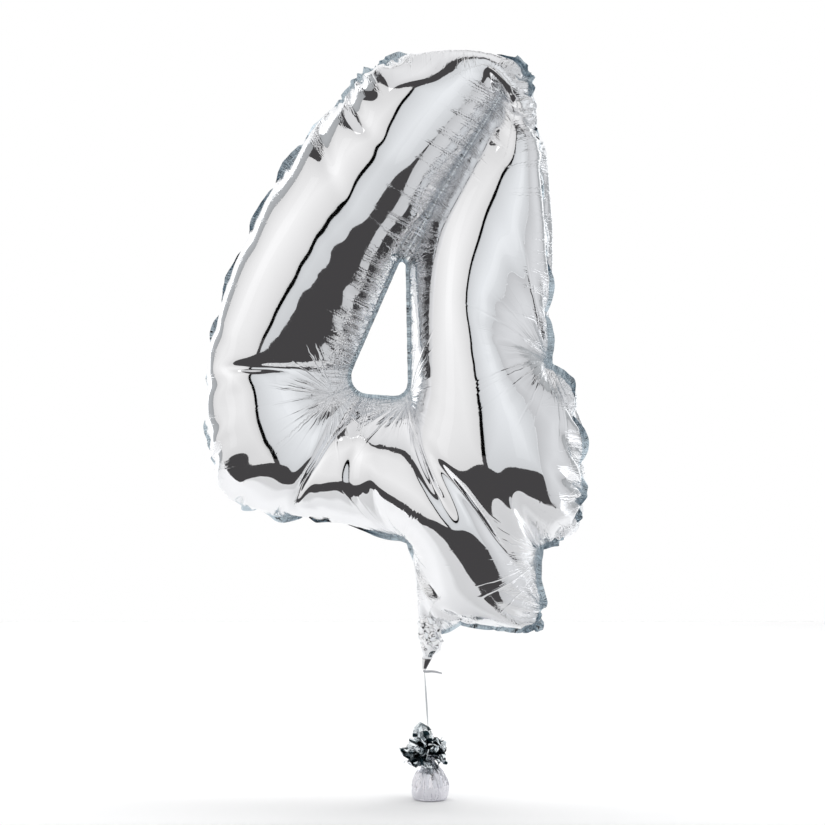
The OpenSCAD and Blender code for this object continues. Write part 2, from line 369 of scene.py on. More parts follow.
# ---------------------------------------------------------------- figure: the cut of its film
# Corners of the figure's weld line, anticlockwise, in millimetres: x and z in the flat cut, x and z once
# filled, and the radius. Film shortens across every stroke as it fills, so the cut is larger.
OUTLINE = (
    (-26, 200, -11, 231, 14), (72, 199, 74, 256, 200), (170, 204, 160, 244, 16),
    (192, 280, 166, 292, 200), (202, 326, 158, 364, 12), (284, 346, 212, 380, 40),
    (304, 480, 231, 480, 300), (298, 608, 212, 592, 50), (246, 640, 175, 628, 12),
    (256, 760, 178, 740, 300), (226, 910, 168, 900, 300), (140, 1086, 148, 1044, 30),
    (44, 1114, 56, 1071, 300), (-48, 1114, -38, 1068, 300), (-116, 1098, -88, 1052, 40),
    (-226, 1008, -166, 986, 400), (-314, 890, -250, 874, 400), (-372, 770, -306, 760, 400),
    (-402, 645, -343, 645, 400), (-406, 520, -350, 530, 250), (-376, 404, -326, 436, 100),
    (-300, 362, -276, 404, 150), (-160, 344, -150, 392, 300), (-54, 318, -32, 370, 14),
    (-44, 270, -19, 300, 200))
COUNTER = (
    (-152, 572, -140, 578, 30), (-38, 572, -28, 570, 24), (-28, 770, -32, 772, 10),
    (-44, 776, -48, 776, 10))
# Line where the films are welded together above the counter, so that the two strokes meet in a valley.
VALLEY = ((-37, 772, -40, 776), (14, 864, 18, 868), (100, 1000, 108, 1006))
# Corners with a tab of spare film, by their places in the outline.
EARS = (11, 14, 2)
# Corners that creases fan out from, by their places in the outline and the counter, and each fan's length.
OUTLINE_FANS = ((8, 60), (4, 44), (23, 44), (12, 40))
COUNTER_FANS = ((0, 40), (1, 44))
SEAM_W = 9.0
INNER_SEAM_W = 0.55 * SEAM_W
EAR_L = 15.0
SCALLOP_DEPTH = 10.0
SCALLOP_GAPS = (58, 104)
# Half the gap between the two films before they fill.
START_GAP = 1.5
FRONT_FACE, BACK_FACE, SEAM_FACE = 0, 1, 2
MESH_STEP = 10.0


def rounded(corners, step):
    """Closed outline with rounded corners: its points, their places along it and the corners' places."""
    line, middles = [], []
    n = len(corners)
    for i in range(n):
        before, at, after = (np.array(corners[(i + k) % n][:2], float) for k in (-1, 0, 1))
        a, b = before - at, after - at
        la, lb = np.linalg.norm(a), np.linalg.norm(b)
        a, b = a / la, b / lb
        angle = math.acos(np.clip(a @ b, -1, 1))
        reach = min(corners[i][2] / math.tan(angle / 2), 0.45 * la, 0.45 * lb)
        r = reach * math.tan(angle / 2)
        centre = at + (a + b) / np.linalg.norm(a + b) * r / math.sin(angle / 2)
        first, last = at + a * reach - centre, at + b * reach - centre
        start, end = math.atan2(first[1], first[0]), math.atan2(last[1], last[0])
        sweep = (end - start + math.pi) % (2 * math.pi) - math.pi
        m = 2 * max(1, int(abs(sweep) * r / step) + 1)
        middles.append(len(line) + m // 2)
        for k in range(m + 1):
            t = start + sweep * k / m
            line.append(centre + r * np.array([math.cos(t), math.sin(t)]))
    line = np.vstack([line, line[:1]])
    along = np.concatenate([[0], np.cumsum(np.linalg.norm(np.diff(line, axis=0), axis=1))])
    return line, along, along[middles]


def at_places(line, along, places):
    """Points of a line at the given places along it."""
    return np.stack([np.interp(places, along, line[:, k]) for k in (0, 1)], 1)


def two_outlines(corners, step):
    """A weld line in the flat cut, as points about a step apart, and the same points once filled.

    The last result is the place of each point along the filled line.
    """
    flat, flat_along, flat_corner = rounded([(c[0], c[1], c[4]) for c in corners], step)
    full, full_along, full_corner = rounded([(c[2], c[3], c[4]) for c in corners], step)
    count = int(round(flat_along[-1] / step))
    places = flat_corner[0] + np.arange(count) * flat_along[-1] / count
    known = np.append(flat_corner, flat_corner[0] + flat_along[-1])
    wanted = np.append(full_corner, full_corner[0] + full_along[-1])
    matching = np.interp(places, known, wanted)
    return (at_places(flat, flat_along, places % flat_along[-1]),
            at_places(full, full_along, matching % full_along[-1]), matching)


def inside(points, outline):
    """Which points lie inside a closed outline."""
    x, y = points[:, 0], points[:, 1]
    odd = np.zeros(len(points), bool)
    for (x1, y1), (x2, y2) in zip(outline, np.roll(outline, -1, 0)):
        if abs(y2 - y1) > 1e-12:
            odd ^= ((y1 > y) != (y2 > y)) & (x < (x2 - x1) * (y - y1) / (y2 - y1) + x1)
    return odd


def distance_to(points, line, closed=True):
    """Distance of each point from a line."""
    best = np.full(len(points), 1e9)
    ends = np.vstack([line[1:], line[:1]]) if closed else line[1:]
    for p, q in zip(line, ends):
        d = q - p
        t = np.clip(((points - p) @ d) / (d @ d), 0, 1)
        best = np.minimum(best, np.linalg.norm(points - p - t[:, None] * d, axis=1))
    return best


def offset(outline, distance):
    """Outline moved along its own normals, outwards on an anticlockwise one."""
    t = np.roll(outline, -1, 0) - np.roll(outline, 1, 0)
    t /= np.linalg.norm(t, axis=1)[:, None]
    return outline + np.stack([t[:, 1], -t[:, 0]], 1) * np.reshape(distance, (-1, 1))


def along_line(corners, step):
    """Points about one step apart along the open weld line, in the flat cut and once filled."""
    line = np.array(corners, float)
    at = np.concatenate([[0], np.cumsum(np.linalg.norm(np.diff(line[:, :2], axis=0), axis=1))])
    places = np.linspace(0, at[-1], int(at[-1] / step) + 1)
    return [np.stack([np.interp(places, at, line[:, k]) for k in pair], 1) for pair in ((0, 1), (2, 3))]


def scalloped(line, along, depth):
    """Filled weld line drawn in where a crease ends on it; the film stands proud between creases."""
    spread = np.random.default_rng(8)
    creases = np.cumsum(spread.uniform(*SCALLOP_GAPS, 60))
    creases = creases[creases < along[-1] - 30]
    gap = np.abs(along[:, None] - creases).min(1)
    return offset(line, -depth * np.exp(-gap / 16.0))


def seam_widths(outer):
    """Width of the welded seam at each point of the outline, wide at the ears and narrow at the neck."""
    widths = np.full(len(outer), SEAM_W)
    for ear in EARS:
        gap = np.linalg.norm(outer - np.array(OUTLINE[ear][:2]), axis=1)
        widths += EAR_L * np.exp(-((gap - gap.min()) / 10.0) ** 4)
    at_neck = np.linalg.norm(outer - np.array(OUTLINE[0][:2]), axis=1)
    return widths * (1 - 0.75 * np.exp(-(at_neck / 40.0) ** 4))


def scattered(outer, counter, valley, step):
    """Points about one step apart that cover the film and keep clear of the weld lines."""
    spread = np.random.default_rng(4)
    low, high = outer.min(0), outer.max(0)
    rows = np.arange(low[1], high[1], step * math.sqrt(3) / 2)
    columns = np.arange(low[0], high[0], step)
    grid = np.array([(x + (j % 2) * step / 2, z) for j, z in enumerate(rows) for x in columns])
    grid += spread.uniform(-0.12 * step, 0.12 * step, grid.shape)
    keep = inside(grid, outer) & ~inside(grid, counter)
    for line in (outer, counter, valley):
        keep &= distance_to(grid, line, line is not valley) > 0.7 * step
    return grid[keep]


def cut_film(step):
    """The film's points in the flat cut and with its welds drawn in, its faces and the kind of each face.

    The kinds are FRONT_FACE, BACK_FACE and SEAM_FACE.
    """
    outer, outer_full, outer_along = two_outlines(OUTLINE, step)
    counter, counter_full, _ = two_outlines(COUNTER, step)
    valley, valley_full = along_line(VALLEY, step)
    free = distance_to(valley, counter) > 0.6 * step
    valley, valley_full = valley[free], valley_full[free]
    outer_full = scalloped(outer_full, outer_along, SCALLOP_DEPTH)
    widths = seam_widths(outer)
    seam_out, seam_in = offset(outer, widths), offset(counter, -INNER_SEAM_W)

    loops = [valley, outer, counter, seam_out, seam_in]
    points = np.vstack(loops + [scattered(outer, counter, valley, step)])
    edges = [(i, i + 1) for i in range(len(valley) - 1)]
    first = len(valley)
    for loop in loops[1:]:
        edges += [(first + i, first + (i + 1) % len(loop)) for i in range(len(loop))]
        first += len(loop)
    made = delaunay_2d_cdt([Vector(p) for p in points], edges, [], 0, 1e-5)
    flat = np.array([tuple(p) for p in made[0]])
    tris = np.array([tuple(t) for t in made[2]])
    middle = flat[tris].mean(1)
    film = inside(middle, outer) & ~inside(middle, counter)
    outer_seam = inside(middle, seam_out) & ~inside(middle, outer)
    inner_seam = inside(middle, counter) & ~inside(middle, seam_in)
    seam = outer_seam | inner_seam
    a, b, c = (flat[tris[:, k]] for k in range(3))
    clockwise = (b - a)[:, 0] * (c - a)[:, 1] - (b - a)[:, 1] * (c - a)[:, 0] < 0
    tris[clockwise] = tris[clockwise][:, ::-1]

    full = flat.copy()
    full[:first] = np.vstack([valley_full, outer_full, counter_full, offset(outer_full, widths),
                              offset(counter_full, -INNER_SEAM_W)])
    doubled = np.unique(tris[film])
    doubled = doubled[doubled >= first]
    back = np.arange(len(flat))
    back[doubled] = len(flat) + np.arange(len(doubled))
    side = np.zeros(len(flat) + len(doubled))
    side[doubled] = -START_GAP
    side[len(flat):] = START_GAP
    faces = np.vstack([tris[film], back[tris[film]][:, ::-1], tris[seam]])
    kinds = np.repeat([FRONT_FACE, BACK_FACE, SEAM_FACE], [film.sum(), film.sum(), seam.sum()])
    used = np.unique(faces)
    renumber = np.full(len(side), -1)
    renumber[used] = np.arange(len(used))
    spots = [np.vstack([p, p[doubled]])[used] for p in (flat, full)]
    cut, drawn = (np.stack([p[:, 0], side[used], p[:, 1]], 1) * MM for p in spots)
    return cut, drawn, renumber[faces], kinds


def edges_of(faces):
    """Unique edges, and for each face the index of its edges ab, bc and ca."""
    e = np.sort(np.vstack([faces[:, [0, 1]], faces[:, [1, 2]], faces[:, [2, 0]]]), 1)
    unique, which = np.unique(e, axis=0, return_inverse=True)
    return unique, which.reshape(3, -1)


def split_faces(faces, which, first):
    """Each triangle as four, its edges' middles numbered from first."""
    a, b, c = faces.T
    ab, bc, ca = first + which
    return np.vstack([np.stack(f, 1) for f in ((a, ab, ca), (ab, b, bc), (ca, bc, c), (ab, bc, ca))])


def smooth_split(points, faces):
    """Loop subdivision, with every edge that doesn't join two faces kept as a crease."""
    unique, which = edges_of(faces)
    n = len(points)
    uses = np.bincount(which.ravel(), minlength=len(unique))
    crease = uses != 2
    far = np.zeros((len(unique), 3))
    for k in range(3):
        np.add.at(far, which[k], points[faces[:, (k + 2) % 3]])
    ends = points[unique[:, 0]] + points[unique[:, 1]]
    middle = np.where(crease[:, None], ends / 2, ends * 3 / 8 + far / 8)
    ring, count = np.zeros((n, 3)), np.zeros(n)
    weld_and_shade, rim_count = np.zeros((n, 3)), np.zeros(n)
    for a, b in ((0, 1), (1, 0)):
        np.add.at(ring, unique[:, a], points[unique[:, b]])
        np.add.at(count, unique[:, a], 1)
        np.add.at(weld_and_shade, unique[crease, a], points[unique[crease, b]])
        np.add.at(rim_count, unique[crease, a], 1)
    share = (5 / 8 - (3 / 8 + np.cos(2 * np.pi / count) / 4) ** 2)[:, None]
    moved = points * (1 - share) + ring / count[:, None] * share
    on_crease = rim_count == 2
    moved[rim_count > 0] = points[rim_count > 0]
    moved[on_crease] = points[on_crease] * 0.75 + weld_and_shade[on_crease] / 8
    return np.vstack([moved, middle]), split_faces(faces, which, n)


PRESSURE = 200
DRAW_FRAMES = 16
FILL_FRAMES = 40
SETTLE_FRAMES = 12


def fill_with_gas(points, faces, kinds, frames, bending, drawn=None):
    """The film after pressure has acted for some frames, its welds held or drawn in to the given points."""
    me = bpy.data.meshes.new("film")
    me.from_pydata(points.tolist(), [], faces.tolist())
    me.update()
    film = add("film", me)
    if drawn is not None:
        film.shape_key_add(name="Basis")
        pull = film.shape_key_add(name="drawn")
        pull.data.foreach_set("co", drawn.astype(np.float32).ravel())
        for value, when in ((0, 1), (1, DRAW_FRAMES)):
            pull.value = value
            pull.keyframe_insert("value", frame=when)
    filled = film.vertex_groups.new(name="filled")
    filled.add([int(i) for i in np.unique(faces[kinds != SEAM_FACE])], 1.0, "REPLACE")
    weld = film.vertex_groups.new(name="weld")
    on_both = np.intersect1d(faces[kinds == FRONT_FACE], faces[kinds == BACK_FACE])
    weld.add([int(i) for i in on_both], 1.0, "REPLACE")
    cloth = film.modifiers.new("cloth", "CLOTH")
    s = cloth.settings
    s.vertex_group_mass = "weld"
    s.quality = 5
    s.mass = 1e-5
    s.air_damping = 1
    s.tension_stiffness = s.compression_stiffness = s.shear_stiffness = 20
    s.tension_damping = s.compression_damping = s.shear_damping = 5
    s.bending_stiffness = bending
    s.bending_damping = 0.5
    s.use_pressure = True
    s.uniform_pressure_force = PRESSURE
    s.vertex_group_pressure = "filled"
    s.effector_weights.gravity = 0
    cloth.collision_settings.use_collision = False
    cloth.point_cache.frame_start = 1
    cloth.point_cache.frame_end = frames + 2
    for f in range(1, frames + 1):
        bpy.context.scene.frame_set(f)
    shaped = film.evaluated_get(bpy.context.evaluated_depsgraph_get())
    out = np.zeros(len(points) * 3)
    shaped.data.vertices.foreach_get("co", out)
    bpy.data.objects.remove(film)
    bpy.data.meshes.remove(me)
    bpy.context.scene.frame_set(1)
    return out.reshape(-1, 3)


cut, drawn, faces, kinds = cut_film(MESH_STEP)
shape = fill_with_gas(cut, faces, kinds, FILL_FRAMES, 1.0, drawn)
unique, which = edges_of(faces)
faces = split_faces(faces, which, len(cut))
kinds = np.tile(kinds, 4)
cut, shape = (np.vstack([p, p[unique].mean(1)]) for p in (cut, shape))
shape = fill_with_gas(shape, faces, kinds, SETTLE_FRAMES, 0.3)

# ---------------------------------------------------------------- figure: puckers and pieces
unique, _ = edges_of(faces)
shape, faces = smooth_split(shape, faces)
cut = np.vstack([cut, cut[unique].mean(1)])
kinds = np.tile(kinds, 4)

FAN_DEPTH = 1.7 * MM
RUFFLE_DEPTH = 1.6 * MM


def normals_of(points, faces):
    """Unit normal of the surface at each point."""
    across = np.cross(points[faces[:, 1]] - points[faces[:, 0]], points[faces[:, 2]] - points[faces[:, 0]])
    out = np.zeros_like(points)
    for k in range(3):
        np.add.at(out, faces[:, k], across)
    return out / np.maximum(np.linalg.norm(out, axis=1)[:, None], 1e-12)


def seam_place(cut):
    """Distance of each point from the nearest weld line, and its place along that line, in millimetres."""
    step = 2.0
    lines = [two_outlines(OUTLINE, step)[0], two_outlines(COUNTER, step)[0], along_line(VALLEY, step)[0]]
    spots = np.vstack(lines)
    tree = KDTree(len(spots))
    for i, (x, z) in enumerate(spots):
        tree.insert((x, 0, z), i)
    tree.balance()
    found = [tree.find((p[0] / MM, 0, p[2] / MM)) for p in cut]
    return np.array([f[2] for f in found]), np.array([f[1] * step for f in found])


def corner_place(cut, corner):
    """Turn of each point about a corner, 0 straight into the film, and its distance in millimetres."""
    off = cut[:, [0, 2]] / MM - np.array(corner)
    gap = np.hypot(off[:, 0], off[:, 1])
    inward = off[gap < 20].sum(axis=0)
    return np.arctan2(off @ np.array((-inward[1], inward[0])), off @ inward), gap


def wander(length, step, seed):
    """Smooth random wave along a line, one swing about every two steps."""
    n = int(length / step) + 4
    values = np.random.default_rng(seed).uniform(-1, 1, n)
    values[1::2] = np.abs(values[1::2])
    values[0::2] = -np.abs(values[0::2])
    return lambda s: np.interp(s / step, np.arange(n), values)


def smoothed(points, faces, share, rounds):
    """Points moved towards the mean of their neighbours by a share of their own, several times over."""
    unique, _ = edges_of(faces)
    count = np.bincount(unique.ravel(), minlength=len(points))[:, None]
    for _ in range(rounds):
        total = np.zeros_like(points)
        for k in range(3):
            total[:, k] = (np.bincount(unique[:, 0], points[unique[:, 1], k], len(points))
                           + np.bincount(unique[:, 1], points[unique[:, 0], k], len(points)))
        points = points + (total / count - points) * share[:, None]
    return points


away, along = seam_place(cut)
on_seam = np.zeros(len(cut), bool)
on_seam[np.unique(faces[kinds == SEAM_FACE])] = True

# The simulation's small wrinkles are calmed away from the welds, and more so near the top.
calm = 0.5 * np.clip((away - 14) / 34, 0, 1)
shape = smoothed(shape, faces, calm, 30)
near_top = np.clip((shape[:, 2] / MM - 660) / 50, 0, 1)
shape = smoothed(shape, faces, calm * near_top, 50)

# Puckers run out square from the welds.
total = along.max() + 10
fine_pucker, broad_pucker = wander(total, 4.5, 2), wander(total, 9.0, 3)
reach = 11 + 9 * (1 + np.sin(along / 37.0) * np.sin(along / 91.0))
swell = np.exp(-away / reach) * np.clip(away / 5, 0, 1)
depth = (0.45 * fine_pucker(along) + 0.7 * broad_pucker(along)) * swell * MM

# Folds fan out from the corners; each point also keeps its place in the nearest fan.
fans = [(OUTLINE[i], length) for i, length in OUTLINE_FANS]
fans += [(COUNTER[i], length) for i, length in COUNTER_FANS]
fan_turn, fan_gap = np.zeros(len(cut)), np.full(len(cut), 10.0)
for seed, (corner, length) in enumerate(fans):
    turn, gap = corner_place(cut, corner[:2])
    gap /= length
    rays = wander(2 * math.pi, 0.12, 30 + seed)(turn + math.pi)
    depth += FAN_DEPTH * rays * gap * np.exp(1 - 2.2 * gap) * np.clip(away / 4, 0, 1)
    nearest = gap < fan_gap
    fan_turn[nearest], fan_gap[nearest] = turn[nearest], gap[nearest]
normal = normals_of(shape, faces[kinds != SEAM_FACE])
shape[~on_seam] += (normal * depth[:, None])[~on_seam]

# The welded seam is ruffled, and the ears are crumpled.
ruffle = RUFFLE_DEPTH * broad_pucker(along) * np.clip(away / SEAM_W, 0, 1.0)
shape[on_seam, 1] += ruffle[on_seam]
for i in np.flatnonzero(on_seam & (away > SEAM_W + 1)):
    spot = Vector(shape[i])
    crumple = noise.noise_vector(spot * 110) * 0.007 + noise.noise_vector(spot * 260) * 0.003
    shape[i] += np.array(crumple) * min(1, (away[i] - SEAM_W) / 6)
# Full share on the welded seam for its own duller, bluish tone; a fading share on the film beside every
# weld, valley included, is painted shade in the crease where the films meet.
weld_and_shade_share = np.where(on_seam, 1.0, 0.3 * np.exp(-away / 9.0))


def film_piece(name, node, wanted):
    """The figure's faces of the wanted kinds as a piece of their own."""
    mine = faces[np.isin(kinds, wanted)]
    used = np.unique(mine)
    renumber = np.full(len(shape), -1)
    renumber[used] = np.arange(len(used))
    o = mesh_object(name, shape[used], renumber[mine], silver)
    places = {"weld_and_shade": weld_and_shade_share, "seam_away": away * MM, "seam_along": along * MM,
              "fan_away": fan_gap, "fan_along": fan_turn}
    for key, value in places.items():
        layer = o.data.attributes.new(key, "FLOAT", "POINT")
        layer.data.foreach_set("value", value[used].astype(np.float32))
    stand_in(o, "figure", "silver_film", node)
    return o


front_film = film_piece("front_film", "front_panel", [FRONT_FACE, SEAM_FACE])
back_film = film_piece("back_film", "back_panel", [BACK_FACE])

# ---------------------------------------------------------------- figure: filling neck
NECK_TOP_Z = 0.272
LUMP_Z = 0.224
TAIL_Z = 0.206
neck_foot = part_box("fill_neck")[0][2]
# Sections upwards: height, left and right side, half depth and how crumpled the film is there.
NECK_SECTIONS = (
    (neck_foot, -0.0115, -0.0060, 0.0004, 0.0),
    (TAIL_Z - 0.004, -0.0118, 0.0035, 0.0008, 0.03),
    (TAIL_Z, -0.0105, 0.0060, 0.0050, 0.35),
    (TAIL_Z + 0.007, -0.0125, 0.0150, 0.0110, 0.9),
    (LUMP_Z, -0.0135, 0.0178, 0.0130, 1.0),
    (LUMP_Z + 0.016, -0.0160, 0.0165, 0.0120, 1.0),
    (0.252, -0.0180, 0.0190, 0.0150, 0.7),
    (NECK_TOP_Z, -0.0165, 0.0170, 0.0130, 0.4))


def filling_neck():
    """Crumpled funnel that the stub's corner runs into, pinched below its lump to a flat tail."""
    rows, cols = 60, 64
    heights, *sides = np.transpose(NECK_SECTIONS)
    points = []
    for z in np.linspace(NECK_TOP_Z, neck_foot, rows):
        left, right_side, deep, crumpled = (np.interp(z, heights, side) for side in sides)
        middle, wide = (left + right_side) / 2, (right_side - left) / 2
        for i in range(cols):
            a = 2 * math.pi * i / cols
            spot = Vector((1.6 * math.cos(a), 1.6 * math.sin(a), 70 * z))
            dent = abs(noise.noise(spot)) - 0.2 + 0.35 * (abs(noise.noise(spot * 2.3)) - 0.2)
            pleat = 0.05 * math.sin(7 * a + 130 * z)
            out = 1 - crumpled * (0.50 * dent + pleat)
            points.append((middle + wide * out * math.cos(a), deep * out * math.sin(a), z))
    faces = ring_faces(0, cols, rows)
    faces.append(tuple(range(cols)))
    faces.append(tuple(range(rows * cols - 1, (rows - 1) * cols - 1, -1)))
    return mesh_object("filling_neck", points, faces, silver)


stand_in(filling_neck(), "figure", "silver_film", "fill_neck")

# ---------------------------------------------------------------- weight: pleated wrap
wrap_low, wrap_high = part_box("foil_wrap")
TIE_Z = middle_of("neck_tie").z
WRAP_R = (wrap_high[0] - wrap_low[0]) / 2
# Outline of the wrap upwards: height and share of its radius.
WRAP_PROFILE = (
    (0.0, 0.55), (0.0008, 0.90), (0.004, 1.00), (0.012, 1.07), (0.020, 1.08), (0.030, 0.98),
    (0.040, 0.78), (0.048, 0.50), (TIE_Z - 0.0015, 0.26), (TIE_Z + 0.0015, 0.26), (TIE_Z + 0.006, 0.42))
# Outline of the cup inside it, which no pleat cuts into: height and radius.
CUP_PROFILE = (
    (0.0, 0.0), (0.0034, 0.0234), (0.0094, 0.0240), (0.0184, 0.0240), (0.0274, 0.0228),
    (0.0344, 0.0202), (0.0398, 0.0182), (0.0404, 0.0))


def pleated_wrap():
    """Foil drawn up round the cup in sharp pleats that deepen towards the tie, with a torn collar."""
    rows, cols, pleats = 70, 240, 12
    rng = np.random.default_rng(11)
    folds = (np.arange(pleats) + rng.uniform(-0.45, 0.45, pleats)) * 2 * math.pi / pleats
    slants, strengths = rng.uniform(-5, 5, pleats), rng.uniform(0.15, 1.3, pleats)
    profile_z, profile_share = np.transpose(WRAP_PROFILE)
    cup_z, cup_r = np.transpose(CUP_PROFILE)
    places = np.linspace(0, 1, len(profile_z))
    points = [(0, 0, 0.0002)]
    for t in np.linspace(0, 1, rows):
        z = np.interp(t, places, profile_z)
        r = np.interp(t, places, profile_share * WRAP_R)
        gather = 0.11 * min(1, z / 0.008) + 0.26 * np.clip(z / TIE_Z, 0, 1) ** 1.5
        inner = np.interp(z, cup_z, cup_r) if z > 0.001 else 0
        at = folds + slants * z
        for i in range(cols):
            a = 2 * math.pi * i / cols
            ahead = (at - a) % (2 * math.pi)
            behind = (a - at) % (2 * math.pi)
            valley = 2 * min(ahead.min(), behind.min()) / (ahead.min() + behind.min())
            pleat = gather * strengths[int(np.argmin(ahead))] * valley
            lump = noise.noise(Vector((4 * math.cos(a), 4 * math.sin(a), 60 * z)))
            crease = abs(noise.noise(Vector((4.5 * math.cos(a), 4.5 * math.sin(a), 34 * z + 5))))
            out = max(r * (1 - pleat + 0.06 * lump - 0.24 * crease * (z > 0.003)), inner)
            lift = 0.004 * lump * max(0, (z - TIE_Z) / 0.006)
            points.append((out * math.cos(a), out * math.sin(a), max(z + lift, 0.0001)))
    faces = [(0, 1 + (i + 1) % cols, 1 + i) for i in range(cols)]
    faces += ring_faces(1, cols, rows)
    return mesh_object("pleated_wrap", points, faces, pale_foil)


stand_in(pleated_wrap(), "weight", "wrap_foil", "foil_wrap")

# ---------------------------------------------------------------- weight: frill
# Layers upwards: piece, node, height of the roots, petals, rise in degrees, length, width and seed.
FRILL_LAYERS = (
    ("petals_lower", "frill_lower", 0.061, 9, 4, 0.044, 0.026, 21),
    ("petals_middle", "frill_middle", 0.064, 9, 34, 0.046, 0.028, 22),
    ("petals_upper", "frill_upper", 0.067, 7, 66, 0.044, 0.026, 23))
TORN_STRIPS = 2
TORN_W = 2.5 * MM


def petal(points, faces, unshaded_shares, root, azimuth, rise, length, width, seed):
    """Adds one crumpled petal of cut foil, with painted shade near its root and on random facets, and
    bright towards its tip.
    """
    rows, cols = 8, 6
    first = len(points)
    rng = np.random.default_rng(seed)
    droop, twist, cup = rng.uniform(-1.3, 0.3), rng.uniform(-0.6, 0.6), rng.uniform(0.2, 0.9)
    roll = rng.uniform(-1.3, 1.3)
    shift = Vector(rng.uniform(0, 50, 3))
    out = Vector((math.cos(azimuth), math.sin(azimuth), 0))
    side0 = Vector((-math.sin(azimuth), math.cos(azimuth), 0))
    p, slope = Vector(root) + out * 0.003, rise
    for j in range(rows):
        t = j / (rows - 1)
        ahead = out * math.cos(slope) + Vector((0, 0, 1)) * math.sin(slope)
        up = ahead.cross(side0) * -1
        turn = roll * min(1, 3 * t) + twist * t
        side = side0 * math.cos(turn) + up * math.sin(turn)
        lift = up * math.cos(turn) - side0 * math.sin(turn)
        tip = math.sqrt(max(0.02, 1 - max(0, (t - 0.45) / 0.56) ** 2.5))
        w = width * min(1, 0.25 + 1.6 * t) * tip
        for i in range(cols):
            u = 2 * i / (cols - 1) - 1
            q = p + side * (u * w / 2) + lift * (cup * w * 0.35 * u * u)
            broad = noise.noise_vector(q * 95 + shift) * 0.0075
            tight = noise.noise_vector(q * 230 - shift) * 0.0020
            points.append(q + (broad + tight) * (0.25 + 0.75 * t))
        p += ahead * (length / (rows - 1))
        slope += droop / (rows - 1)
    for j in range(rows - 1):
        for i in range(cols - 1):
            k = first + j * cols + i
            for face in ((k, k + 1, k + cols + 1), (k, k + cols + 1, k + cols)):
                faces.append(face)
                reach = length * (j + 0.5) / rows
                # Painted shade: facets near the root, and random ones further out, are darkened; those
                # towards the tip keep the pale foil.
                bright = 0.5 + (reach - 0.016) / 0.012 + 6 * noise.noise(points[face[0]] * 150 + shift)
                unshaded_shares.append(min(1, max(0, bright)))


def frill(name, node, root_z, count, rise, length, width, seed):
    """Layer of petals, longer towards -X, where the frill leans, with a few narrow torn strips."""
    points, faces, unshaded_shares = [], [], []
    rise = math.radians(rise)
    rng = np.random.default_rng(seed)
    for i in range(count):
        azimuth = 2 * math.pi * (i + rng.uniform(-0.3, 0.3)) / count
        lean = (1 - math.cos(azimuth)) / 2
        petal(points, faces, unshaded_shares, (0, 0, root_z), azimuth, rise + rng.uniform(-0.25, 0.25),
              length * (0.5 + 0.5 * lean) * rng.uniform(0.88, 1.06),
              width * rng.uniform(0.8, 1.15), seed * 100 + i)
    for i in range(TORN_STRIPS):
        petal(points, faces, unshaded_shares, (0, 0, root_z), rng.uniform(0, 2 * math.pi),
              rise + rng.uniform(-0.2, 0.4), length * 0.8, TORN_W, seed * 100 + 50 + i)
    o = mesh_object(name, points, faces, painted_shade_frill_foil, smooth=False)
    o.data.attributes.new("unshaded", "FLOAT", "FACE").data.foreach_set("value", unshaded_shares)
    stand_in(o, "weight", "frill_foil", node)


for layer in FRILL_LAYERS:
    frill(*layer)

# ---------------------------------------------------------------- studio
# The set is square to the camera: a pale table, a white panel behind it, two tall soft panels in front with
# a narrow gap between them, others at the sides and overhead, and darkness beyond.


def studio_paper():
    """Matt paper with painted shade: grey towards the edge in front of the object, and a little grey on a
    band behind it that evens out the rear lamp's pool of light, white elsewhere.
    """
    m, shader, tree = material("studio_paper", Roughness=0.9, Specular_IOR_Level=0.2)
    coord = tree.nodes.new("ShaderNodeTexCoord")
    forward = tree.nodes.new("ShaderNodeVectorMath")
    forward.operation = "DOT_PRODUCT"
    forward.inputs[1].default_value = front
    link(tree, coord.outputs["Object"], forward.inputs[0])
    place = forward.outputs["Value"]
    # Painted shade: darker in front of the object, where its surfaces reflect the paper, and a little
    # darker on a band behind it.
    front_edge = map_range(tree, place, 0.98, 0.76, 0.17, 0.26)
    under_object = map_range(tree, place, 0.91, 1.0, -0.6, -0.1)
    far_end = map_range(tree, place, 1.0, 0.91, -1.9, -1.1)
    middle = arithmetic(tree, "MAXIMUM", under_object, far_end)
    shade = arithmetic(tree, "MULTIPLY", front_edge, middle)
    grey = tree.nodes.new("ShaderNodeCombineColor")
    for channel in ("Red", "Green", "Blue"):
        link(tree, shade, grey.inputs[channel])
    link(tree, grey.outputs["Color"], shader.inputs["Base Color"])
    return m


# Edge of the table from front to back: distance in front of the object and half width.
TABLE = ((0.50, 0.74), (0.05, 0.95), (-0.5, 2.8), (-2.55, 3.2))


def paper_table():
    """Table of paper, narrower in front of the object."""
    points = [front * ahead + right * (side * half) for ahead, half in TABLE for side in (-1, 1)]
    faces = [(2 * i, 2 * i + 1, 2 * i + 3, 2 * i + 2) for i in range(len(TABLE) - 1)]
    mesh_object("studio_table", points, faces, studio_paper(), smooth=False)


WHITE = (1, 1, 1)
WARM = (1, 0.995, 0.985)
COOL = (0.97, 0.985, 1)
COOLER = (0.94, 0.98, 1)
# How much dimmer a soft panel is at its edges.
SOFT_EDGE = 0.26
GAP_AZIMUTH = -12
